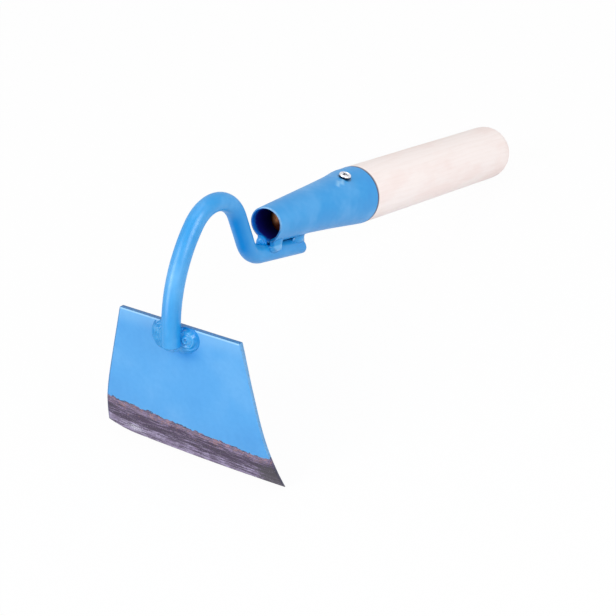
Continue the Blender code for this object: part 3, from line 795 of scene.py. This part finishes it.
def ridgeShare(x, angle):
    return min(sum(nearSpot(x, angle, *spot, ridge["reach"]) for spot in ridges), 1.0)


def seamFlare(x, angle):
    # angle runs from the bottom towards the left; the sheet reaches out where the seam nears the mouth
    off = (angle + socket["seamTurn"] + math.pi) % (2 * math.pi) - math.pi
    along = np.clip(1 - x / socket["flareReach"], 0.0, 1.0) ** 0.8
    return socket["flare"] * np.exp(-(off / socket["flareTurn"]) ** 2) * along


def coneSlope():
    return math.atan2(socket["rearWidth"] / 2 - socket["mouthHeight"] / 2, socket["length"])


def screwPlace():
    x, turn = socket["length"] - screw["fromRear"], screw["turn"]
    width, height = socketRadii(x)
    return (Matrix.Translation((x, -width * math.sin(turn), height * math.cos(turn))) @ Matrix.Rotation(turn, 4, "X")
            @ Matrix.Rotation(-coneSlope(), 4, "Y") @ Matrix.Rotation(screw["recessTurn"], 4, "Z"))


def socketPoint(x, angle, sink):
    # angle runs from the bottom towards the left; sink is how far below the outer surface
    width, height = socketRadii(x)
    sine, cosine, slope = math.sin(angle), math.cos(angle), coneSlope()
    lift = sum(rise * nearSpot(x, angle, spot, turn, reach) for spot, turn, reach, rise in dents)
    lift += seamFlare(x, angle) + ridge["lift"] * ridgeShare(x, angle)
    lift += socket["wave"] * wobble(x * socket["waveScale"], sine * 1.2, cosine * 1.2, 2.0) - socket["shrink"]
    normal = Vector((0.0, sine / width, -cosine / height)).normalized()
    normal = (normal * math.cos(slope) + Vector((-math.sin(slope), 0.0, 0.0))).normalized()
    return Vector((x, width * sine, -height * cosine)) + normal * (lift - sink)


def makeSocket():
    sheet, lip, columns, length = socket["sheet"], socket["lipSheet"], socket["columns"], socket["length"]
    r, lipReach = socket["rounding"], socket["lipReach"]
    # The sheet's section from mouth to rear outside, then back inside; the lip is bevelled inside
    arc = [math.radians(a) for a in (90, 60, 30, 0)]
    outer = [(r - r * math.sin(a), r - r * math.cos(a), 1.0 if a > 0.6 else 0.4) for a in arc]
    outer += [(r + (length - 2 * r) * k / socket["stations"], 0.0, 0.0) for k in range(1, socket["stations"])]
    outer += [(length - r + r * math.sin(a), r - r * math.cos(a), 1.0 if a > 0.6 else 0.6) for a in reversed(arc)]
    inner = [(length - x, sheet - sink, mark * 0.6) for x, sink, mark in outer[:-4]]
    inner = [(x, sink - (sheet - lip) * ramp(lipReach - x, 0.0, lipReach), mark) for x, sink, mark in inner]
    inner += [(r, lip - 0.00002, 0.3), (0.4 * r, lip - 0.00012, 0.6), (0.0, lip - 0.00030, 1.0)]
    points, rows, marks = [], [], defaultdict(list)
    head = screwPlace().inverted()
    for k in range(columns + 1):
        rows.append([])
        for number, (x, sink, mark) in enumerate(outer + inner):
            outside = number < len(outer)
            seam = math.asin(socket["seamWidth"] / 2 / socketRadii(x)[1])
            angle = seam - socket["seamTurn"] + (2 * math.pi - 2 * seam) * k / columns
            spot = socketPoint(x, angle, sink)
            rows[-1].append(len(points))
            points.append(spot)
            fromScrew = (head @ spot).xy.length if outside else 1.0
            rearShade = ramp(x, length - 0.0009, length - 0.0002)
            # Painted highlight over the lip's top and right and along the ridges, painted shade on its left, round
            # the screw's head and along the rear rim
            turned = math.cos(angle - socket["litTurn"])
            onLip = mark if x < 0.0006 else 0.0
            onRidge = ridgeShare(x, angle) if outside else 0.0
            note(marks, edge=max(mark, 1.0 if k in (0, columns) else 0.0), inside=0.0 if outside else x * 1000,
                 crest=max(onLip * ramp(turned, 0.1, 0.8), ridge["rubbed"] * onRidge),
                 crease=max(0.9 * ramp(socket["screwShade"] - fromScrew, 0.0, 0.0007), 0.6 * rearShade,
                            0.7 * onLip * ramp(-turned, 0.2, 0.8)))
    faces = loft(rows, False)
    half, whole = len(outer), len(outer + inner)
    faceKinds = [1 if i % (whole - 1) > half else 0 for i in range(len(faces))]
    # The lip's face at the mouth, and the two long cut edges of the sheet
    faces += [(a[-1], a[0], b[0], b[-1]) for a, b in zip(rows, rows[1:])]
    for row in (rows[0], rows[-1]):
        outside, inside = row[:half], row[half:][::-1]
        n = min(len(outside), len(inside))
        faces += [(outside[i], outside[i + 1], inside[i + 1], inside[i]) for i in range(n - 1)]
        faces += [(outside[i], outside[i + 1], inside[-1]) for i in range(n - 1, half - 1)]
    faceKinds += [0] * (len(faces) - len(faceKinds))
    addPiece("socketCone", "socket", points, faces, [tubePaint, insideScaleAndShade], marks,
             faceKinds=faceKinds)


makeSocket()


# Handle: turned wood, its nose tapered inside the socket

handle = {"radius": 0.0150, "reach": 0.150, "buttRounding": 0.0125, "noseDepth": 0.013, "noseChamfer": 0.0012,
          "sides": 120, "play": 0.00015, "shoulder": 0.0004, "wave": 0.00010, "ripple": 0.00003,
          "shrink": 0.00012}


def makeHandle():
    length, radius, rounding = socket["length"], handle["radius"], handle["buttRounding"]
    nose, chamfer = handle["noseDepth"], handle["noseChamfer"]
    shoulder, butt = length + handle["shoulder"], length + handle["reach"]
    wall = socket["sheet"] / math.cos(coneSlope())
    points, rings, marks = [], [], defaultdict(list)

    def tenon(x):
        return min(socketRadii(x)) - wall - handle["play"]

    def put(spot):
        # Painted shade on the nose's end: darker towards its rim, top and bottom
        burnt = max(ramp(spot.yz.length, 0.0040, 0.0054), ramp(-spot.z, 0.0010, 0.0035),
                    0.7 * ramp(spot.z, 0.0010, 0.0030))
        # Painted shadow: a dark line on the wood next to the socket's rear rim
        line = 0.85 * ramp(length + 0.0011 - spot.x, 0.0, 0.0004) * (spot.x > length - 0.010)
        note(marks, nose=1.0 if spot.x < nose + 0.004 else 0.0, burnt=burnt, crease=line)
        points.append(spot)
        return len(points) - 1

    # The outline from the butt to the nose: radius and place along the axis
    profile = [((radius - rounding) * k / 3, butt) for k in (1, 2)]
    for k in range(15):
        angle = 0.5 * math.pi * k / 14
        profile.append((radius - rounding + rounding * math.sin(angle), butt - rounding * (1 - math.cos(angle))))
    start, near = profile[-1][1], length + 0.004
    for x in np.concatenate([np.linspace(start, near, 70)[1:], np.linspace(near, shoulder, 10)[1:]]):
        share = (start - x) / (start - shoulder)
        profile.append((radius + (socket["rearWidth"] / 2 - radius) * share, float(x)))
    profile.append((tenon(shoulder), shoulder - 0.0002))
    profile += [(tenon(x), float(x)) for x in np.linspace(shoulder - 0.001, nose + chamfer, 24)]
    end = tenon(nose)
    profile += [(end - chamfer * 0.6, nose + 0.0003), (end - chamfer, nose), (end * 0.5, nose)]
    for size, x in profile:
        rings.append([])
        for angle in roundTurns(handle["sides"]):
            y, z = math.sin(angle), math.cos(angle)
            # Faint flats and ripples from sanding
            uneven = handle["wave"] * wobble(x * 22, y * 1.1, z * 1.1, 8.0) - handle["shrink"]
            uneven += handle["ripple"] * wobble(x * 160, y, z, 9.0)
            away = size + uneven if size > 0.004 else size
            rings[-1].append(put(Vector((x, y * away, z * away))))
    faces = loft(rings)
    for ring, x in ((rings[0], butt), (rings[-1], nose)):
        faces += fan(ring, put(Vector((x, 0.0, 0.0))))
    addPiece("woodHandle", "handle", points, faces, [handleWood], marks, 50.0)


makeHandle()


# Fixing screw: pan head with a cross recess


def meshObject(name, bm):
    mesh = bpy.data.meshes.new(name)
    bm.to_mesh(mesh)
    bm.free()
    return addObject(name, mesh)


def recessCutter(turn, top):
    # One arm of the cross, narrower at its foot
    bm = bmesh.new()
    corner = math.sqrt(0.5)
    bmesh.ops.create_cone(bm, cap_ends=True, segments=4, radius1=0.35 * corner, radius2=1.65 * corner,
                          depth=2 * screw["recessDepth"])
    bmesh.ops.rotate(bm, verts=bm.verts, matrix=Matrix.Rotation(0.25 * math.pi, 3, "Z"))
    bmesh.ops.scale(bm, verts=bm.verts, vec=(screw["recessWidth"], screw["recessSlot"], 1.0))
    bmesh.ops.rotate(bm, verts=bm.verts, matrix=Matrix.Rotation(turn, 3, "Z"))
    bmesh.ops.translate(bm, verts=bm.verts, vec=(0, 0, top))
    return meshObject("recessCutter", bm)


def screwProfile(dome):
    # The outline from the top of the head to the tip: radius and height
    head, rim, seat = screw["headRadius"], screw["rimHeight"], screw["seat"]
    shank, core = screw["shankRadius"], screw["coreRadius"]
    profile = [(head * math.sin(a), seat + rim + dome * math.cos(a) ** 0.8)
               for a in map(math.radians, (4, 12, 20, 28, 36, 44, 52, 60, 68, 75, 82, 87))]
    profile += [(head, seat + rim * 0.9), (head, seat + rim * 0.25), (head - 0.00012, seat), (0.0019, seat - 0.0001),
                (shank, seat - 0.0004)]
    height, foot, pitch = -0.0015, 0.0003 - screw["length"] + screw["tip"], screw["pitch"]
    while height - pitch > foot:
        profile += [(shank, height), (core, height - 0.3 * pitch), (core, height - 0.7 * pitch)]
        height -= pitch
    return profile + [(shank, height), (core, foot), (0.0002, foot - screw["tip"] + 0.0003)]


def makeScrew():
    matrix = screwPlace()
    head, rim, seat = screw["headRadius"], screw["rimHeight"], screw["seat"]
    top = 0.0003 + screw["headHeight"]
    dome = top - seat - rim
    bm = bmesh.new()
    rings = [[bm.verts.new((radius * math.cos(a), radius * math.sin(a), height)) for a in roundTurns(screw["sides"])]
             for radius, height in screwProfile(dome)]
    for face in loft(rings) + [rings[0], rings[-1]]:
        bm.faces.new(face)
    bmesh.ops.recalc_face_normals(bm, faces=bm.faces)
    blank = meshObject("screwBlank", bm)
    cutters = [recessCutter(turn, top) for turn in (0.0, 0.5 * math.pi)]
    for cutter in cutters:
        cut = blank.modifiers.new("recess", "BOOLEAN")
        cut.operation, cut.solver, cut.object = "DIFFERENCE", "EXACT", cutter
    bpy.context.view_layer.update()
    cutMesh = bpy.data.meshes.new_from_object(blank.evaluated_get(bpy.context.evaluated_depsgraph_get()))
    bm = bmesh.new()
    bm.from_mesh(cutMesh)
    bmesh.ops.dissolve_degenerate(bm, dist=1e-6, edges=bm.edges)  # the cut leaves doubled points
    bm.to_mesh(cutMesh)
    bm.free()
    local = [v.co.copy() for v in cutMesh.vertices]
    faces = [tuple(p.vertices) for p in cutMesh.polygons]
    for obj in [blank, *cutters]:
        bpy.data.objects.remove(obj, do_unlink=True)
    # The recess is darkened as dirt and painted shade, and the head's foot and the side of its rim are painted in
    # shade where it meets the sheet
    marks = defaultdict(list)
    for p in local:
        inside = p.xy.length < screw["recessWidth"] * 0.8 and p.z > 0.0005
        surface = seat + rim + dome * max(1 - (p.xy.length / head) ** 2, 0.0) ** 0.4
        note(marks, soil=1.0 if inside and p.z < surface - 0.0002 else 0.0,
             crease=1.0 if -0.001 < p.z < seat + 0.95 * rim else 0.0)
    addPiece("fixingScrew", "fixing_screw", [matrix @ p for p in local], faces, [zincPlate], marks, 30.0)


makeScrew()


# Welds: lumps that flow into the two pieces they join. Each is the surface where a soft union of its own
# lumps and its neighbours ends, found on a fine grid; under its neighbours' surfaces it stops out of sight.

rodLine = np.array([tuple(p) for p in rodPath()])
weld = {"cell": 0.00021, "sink": 0.00013, "root": 0.0007, "fade": 0.0020, "fadeSink": 0.0010,
        "lumpReach": 0.0010, "cornerReach": 0.0016, "creaseReach": 0.00022, "hiddenDepth": 0.00012,
        "poolHeight": 0.0028, "chalkyHeight": 0.0016, "chalkyReach": 0.0012}
crater = {"across": -0.0062, "drop": 0.0048, "ringRise": 0.00036, "ringReach": 7.0, "sink": 0.00050, "reach": 1.1}
smear = {"across": 0.0050, "drop": 0.0068, "rise": 0.00024, "spacing": 1.9, "clear": 3.0}
ripple = {"rise": 0.00012, "across": 0.0021, "up": 0.0060, "along": 0.0016}


def distanceToRod(spots):
    middle, size = spots.mean(axis=0), np.ptp(spots, axis=0).max()
    best = np.full(len(spots), 1.0)
    for start, end in zip(rodLine[:-1], rodLine[1:]):
        if np.linalg.norm(start - middle) > size + 0.006:  # too far off to matter
            continue
        step = end - start
        along = np.clip((spots - start) @ step / (step @ step), 0.0, 1.0)
        best = np.minimum(best, np.linalg.norm(spots - start - along[:, None] * step, axis=1))
    ahead = rodLine[-1] - rodLine[-2]
    pastEnd = (spots - rodLine[-1]) @ (ahead / np.linalg.norm(ahead))
    return np.maximum(best - rod["radius"], pastEnd)


def plateCoordinates(spots):
    # Across, drop and height in front of the plate's face
    inverse = np.array(bladeMatrix.inverted())
    local = spots @ inverse[:3, :3].T + inverse[:3, 3]
    return local[:, 1], -local[:, 2], -local[:, 0] - blade["thickness"]


def distanceToPlate(spots):
    across, drop, height = plateCoordinates(spots)
    return np.maximum(height, -drop)


def distanceToCone(spots):
    x, y, z = spots.T
    width, height = coneRadii(np.clip(x / socket["length"], 0.0, 1.0))
    fromCone = (np.hypot(y / width, z / height) - 1) * (width + height) / 2
    fromCone -= seamFlare(np.clip(x, 0.0, 1.0), np.arctan2(y / width, -z / height))
    # The wall is a sheet, thinner at the lip
    sheet, lip = socket["sheet"], socket["lipSheet"]
    wall = lip + (sheet - lip) * np.clip(x / socket["lipReach"], 0.0, 1.0)
    return np.maximum.reduce([fromCone, -fromCone - wall, -x])


def softUnion(first, second, reach):
    mix = np.clip(0.5 + 0.5 * (second - first) / reach, 0.0, 1.0)
    return second + (first - second) * mix - reach * mix * (1 - mix)


def connected(mask, start):
    # The part of the mask that hangs together with the start
    part = np.zeros_like(mask)
    part[start] = True
    count = 0
    while count < part.sum():
        count = part.sum()
        for axis in range(3):
            part |= np.roll(part, 1, axis) | np.roll(part, -1, axis)
            part &= mask
    return part


def oneBody(values):
    # Loose scraps and closed hollows go
    body = connected(values < 0, np.unravel_index(np.argmin(values), values.shape))
    outside = connected(~body, (0, 0, 0))
    return np.where(outside, np.maximum(values, 1e-6), np.minimum(values, -1e-6))


def surfaceNet(values):
    # One point in each cell that the surface crosses, one quad round each grid edge that it crosses. The
    # grid's border has to lie outside.
    inside = values < 0
    size = [n - 1 for n in values.shape]
    total, count = np.zeros((*size, 3)), np.zeros(size)

    def corner(spot):
        return values[tuple(slice(i, i + n) for i, n in zip(spot, size))]

    for start in np.ndindex(2, 2, 2):
        for axis in range(3):
            if start[axis]:
                continue
            end = tuple(v + (c == axis) for c, v in enumerate(start))
            near, far = corner(start), corner(end)
            crossed = (near < 0) != (far < 0)
            share = np.where(crossed, near / np.where(crossed, near - far, 1.0), 0.0)
            for c in range(3):
                total[..., c] += np.where(crossed, start[c] + (share if c == axis else 0.0), 0.0)
            count += crossed
    used = count > 0
    number = np.full(size, -1)
    number[used] = np.arange(used.sum())
    points = np.argwhere(used) + total[used] / count[used][:, None]
    faces = []
    for axis in range(3):
        one, two = (axis + 1) % 3, (axis + 2) % 3
        edges = np.argwhere(np.diff(inside, axis=axis))
        quads = []
        for backOne, backTwo in ((0, 0), (1, 0), (1, 1), (0, 1)):
            cell = edges.copy()
            cell[:, one] -= backOne
            cell[:, two] -= backTwo
            quads.append(number[tuple(cell.T)])
        faces += np.stack(quads, axis=1).tolist()
    return points, faces


def makeWeld(name, node, matrix, low, high, lumps, neighbour, relief, reach, line, depth, slot=None):
    # low and high bound the grid in the matrix's frame; each lump is a centre and half sizes in that frame.
    # line is how dark the painted shade along its border is, depth how deep its colour, and the slot function paints
    # shade where the slot darkens it.
    axes = [np.arange(a, b, weld["cell"]) for a, b in zip(low, high)]
    grid = np.stack(np.meshgrid(*axes, indexing="ij"), axis=-1)
    turn, move = np.array(matrix.to_3x3()), np.array(matrix.translation)

    def field(local):
        spots = local @ turn.T + move
        own = np.full(len(local), 1.0)
        for centre, sizes in lumps:
            away = np.linalg.norm((local - np.array(centre)) / np.array(sizes), axis=1)
            own = softUnion(own, (away - 1) * min(sizes), weld["lumpReach"])
        own = own - relief(spots)
        first, second = distanceToRod(spots), neighbour(spots)
        base = np.minimum(first, second)
        lost = np.clip(own / weld["fade"], 0.0, 1.0)
        filled = softUnion(first, second, weld["cornerReach"]) + weld["sink"] + weld["fadeSink"] * lost ** 1.5
        joined = np.maximum(softUnion(own, filled, reach), -(base + weld["root"]))
        return np.maximum(joined, own - weld["fade"]), base

    values = field(grid.reshape(-1, 3))[0].reshape(grid.shape[:3])
    for axis in range(3):
        for end in (0, -1):
            values[tuple(end if c == axis else slice(None) for c in range(3))] = 1.0
    cells, faces = surfaceNet(oneBody(values))
    found = np.array(low) + cells * weld["cell"]
    base = field(found)[1]
    spots = found @ turn.T + move
    # Painted shade and dirt darken the border where the weld meets its neighbours; parts under them and the slot
    # under the seam are painted in shade. Low parts are deeper in colour as pooled paint and painted shade, high
    # crowns lighter as a painted highlight
    crease = line * np.exp(-(np.clip(base, 0.0, None) / weld["creaseReach"]) ** 2)
    crease = np.where(base < -weld["hiddenDepth"], 1.0, crease)
    crease = np.maximum(crease, slot(spots)) if slot else crease
    pooled = np.clip(0.50 + depth - base / weld["poolHeight"], 0.0, 1.0)
    chalky = np.clip((base - weld["chalkyHeight"]) / weld["chalkyReach"], 0.0, 0.6) * max(1 - depth / 0.25, 0.0)
    marks = {"crease": crease, "pooled": pooled, "chalky": chalky}
    addPiece(name, node, [Vector(p) for p in spots], faces, [weldPaint], marks, 60.0)


def rightBladeRelief(spots):
    # Rings round a crater beside the rod, where the arc was circled and broken off
    across, drop, height = plateCoordinates(spots)
    r = np.hypot(across - crater["across"], drop - crater["drop"]) * 1000
    rings = np.cos(2 * np.pi * (0.36 * r + 0.016 * r ** 2)) * np.exp(-(r / crater["ringReach"]) ** 2)
    return -crater["ringRise"] * rings - crater["sink"] * np.exp(-(r / crater["reach"]) ** 2)


def leftBladeRelief(spots):
    # Small nubs round a smooth middle
    across, drop, height = plateCoordinates(spots)
    across, drop = across - smear["across"], drop - smear["drop"]
    r = np.hypot(across, drop) * 1000
    nubs = np.cos(2 * np.pi * r / smear["spacing"]) * (0.6 + 0.4 * np.cos(11 * np.arctan2(drop, across)))
    return smear["rise"] * nubs * np.clip(r / smear["clear"] - 1, 0.0, 1.0)


def tackRelief(spots):
    across = np.cos(2 * np.pi * spots[:, 1] / ripple["across"])
    return ripple["rise"] * across * np.cos(2 * np.pi * spots[:, 2] / ripple["up"])


def beadRelief(spots):
    return ripple["rise"] * np.cos(2 * np.pi * spots[:, 0] / ripple["along"])


def beadSlotShade(spots):
    # The long bead's right flank lies in the slot between the rod and the socket, painted dark as shade
    along = np.clip((spots[:, 0] - 0.0030) / 0.0020, 0.0, 1.0)
    return along * np.clip((0.0016 - spots[:, 1]) / 0.0006, 0.0, 1.0)


def onPlate(across, drop, height):
    return -blade["thickness"] - height, across, -drop


level, tilted = Matrix.Identity(4), Matrix.Rotation(coneSlope(), 4, "Y")
makeWeld("bladeWeldRight", "blade_weld_right", bladeMatrix,
         onPlate(-0.0150, 0.0170, 0.0055), onPlate(0.0004, -0.0006, -0.0009),
         [(onPlate(-0.0060, 0.0047, 0.0003), (0.0028, 0.0046, 0.0042)),
          (onPlate(-0.0046, 0.0076, 0.0000), (0.0022, 0.0044, 0.0036)),
          (onPlate(-0.0012, 0.0098, -0.0002), (0.0014, 0.0030, 0.0026))],
         distanceToPlate, rightBladeRelief, reach=0.0019, line=0.08, depth=0.18)
makeWeld("bladeWeldLeft", "blade_weld_left", bladeMatrix,
         onPlate(-0.0004, 0.0180, 0.0050), onPlate(0.0175, -0.0006, -0.0009),
         [(onPlate(0.0072, 0.0072, -0.0002), (0.0019, 0.0069, 0.0062)),
          (onPlate(0.0022, 0.0098, -0.0002), (0.0014, 0.0032, 0.0026))],
         distanceToPlate, leftBladeRelief, reach=0.0012, line=0.30, depth=-0.15)
makeWeld("socketWeldLeft", "socket_weld_left", tilted, (-0.0055, -0.0022, -0.0165), (0.0265, 0.0080, -0.0055),
         [((0.0004, 0.0018, -0.0088), (0.0019, 0.0021, 0.0024)),
          ((0.0002, 0.0016, -0.0114), (0.0020, 0.0024, 0.0030)),
          ((0.0130, 0.0016, -0.0098), (0.0150, 0.0021, 0.0021))],
         distanceToCone, beadRelief, reach=0.0018, line=0.35, depth=0.55, slot=beadSlotShade)
makeWeld("socketWeldRight", "socket_weld_right", level, (-0.0045, -0.0100, -0.0165), (0.0105, -0.0006, -0.0050),
         [((0.0036, -0.0044, -0.0090), (0.0030, 0.0022, 0.0026)),
          ((0.0034, -0.0042, -0.0110), (0.0034, 0.0022, 0.0022))],
         distanceToCone, tackRelief, reach=0.0020, line=0.25, depth=-0.05)
makeWeld("socketWeldRear", "socket_weld_rear", level, (0.0170, -0.0080, -0.0170), (0.0312, 0.0010, -0.0085),
         [((0.0248, -0.0020, -0.0115), (0.0038, 0.0020, 0.0018))],
         distanceToCone, tackRelief, reach=0.0022, line=0.25, depth=-0.08)
